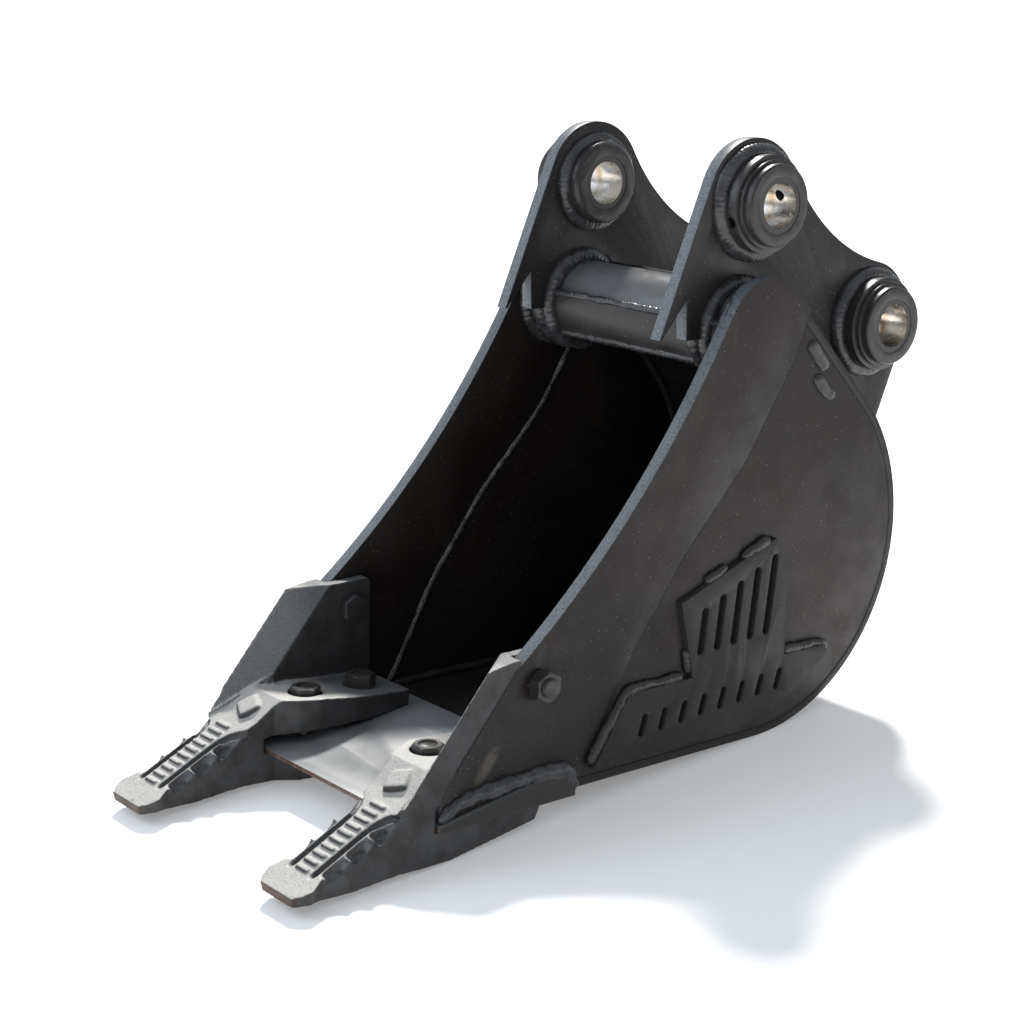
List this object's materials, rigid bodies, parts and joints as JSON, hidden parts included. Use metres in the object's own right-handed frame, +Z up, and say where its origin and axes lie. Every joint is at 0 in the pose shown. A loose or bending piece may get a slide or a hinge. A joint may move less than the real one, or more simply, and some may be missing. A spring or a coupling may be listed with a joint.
{
  "type": "excavator bucket",
  "caption": "Welded excavator digging bucket with a rolled shell, bevelled lip, bolt-on corner teeth and an open two-pin hanger with hardened bushes.",
  "frame": {"origin": "middle of the dipper pin's axis, halfway between the two ears", "axes": "+X across the bucket to the right as seen when facing its mouth, -Y out of the mouth towards the tooth tips, +Z up with the floor plate level"},
  "size_m": [0.326, 0.72, 0.5765],
  "materials": {
    "shell_paint": "semi-matte charcoal paint",
    "side_paint": "semi-matte charcoal paint, slightly brown",
    "lip_steel": "thin grey paint with a bare worn front edge",
    "tube_paint": "semi-matte charcoal paint",
    "ear_paint": "semi-matte charcoal paint",
    "boss_paint": "semi-matte charcoal paint over turned steel",
    "bush_steel": "bright machined bore with a light film of oil and rust",
    "tooth_casting": "rough sand-cast steel, thin grey paint, bare brown tip",
    "fastener_steel": "dull zinc-grey steel",
    "wear_paint": "semi-matte charcoal paint"
  },
  "bodies": {
    "root": {"wrapper_shell": "shell_paint", "cutting_edge": "lip_steel", "torque_tube": "tube_paint", "tube_saddle": "tube_paint", "left_front_side_plate": "side_paint", "left_rear_side_plate": "side_paint", "left_ear": "ear_paint", "left_dipper_boss": "boss_paint", "left_link_boss": "boss_paint", "left_dipper_bush": "bush_steel", "left_link_bush": "bush_steel", "left_corner_tooth": "tooth_casting", "left_side_bolt": "fastener_steel", "left_side_nut": "fastener_steel", "left_lip_bolts": "fastener_steel", "left_lip_nuts": "fastener_steel", "left_heel_wear_plate": "wear_paint", "right_front_side_plate": "side_paint", "right_rear_side_plate": "side_paint", "right_ear": "ear_paint", "right_dipper_boss": "boss_paint", "right_link_boss": "boss_paint", "right_dipper_bush": "bush_steel", "right_link_bush": "bush_steel", "right_corner_tooth": "tooth_casting", "right_side_bolt": "fastener_steel", "right_side_nut": "fastener_steel", "right_lip_bolts": "fastener_steel", "right_lip_nuts": "fastener_steel", "right_heel_wear_plate": "wear_paint"}
  },
  "joints": []
}
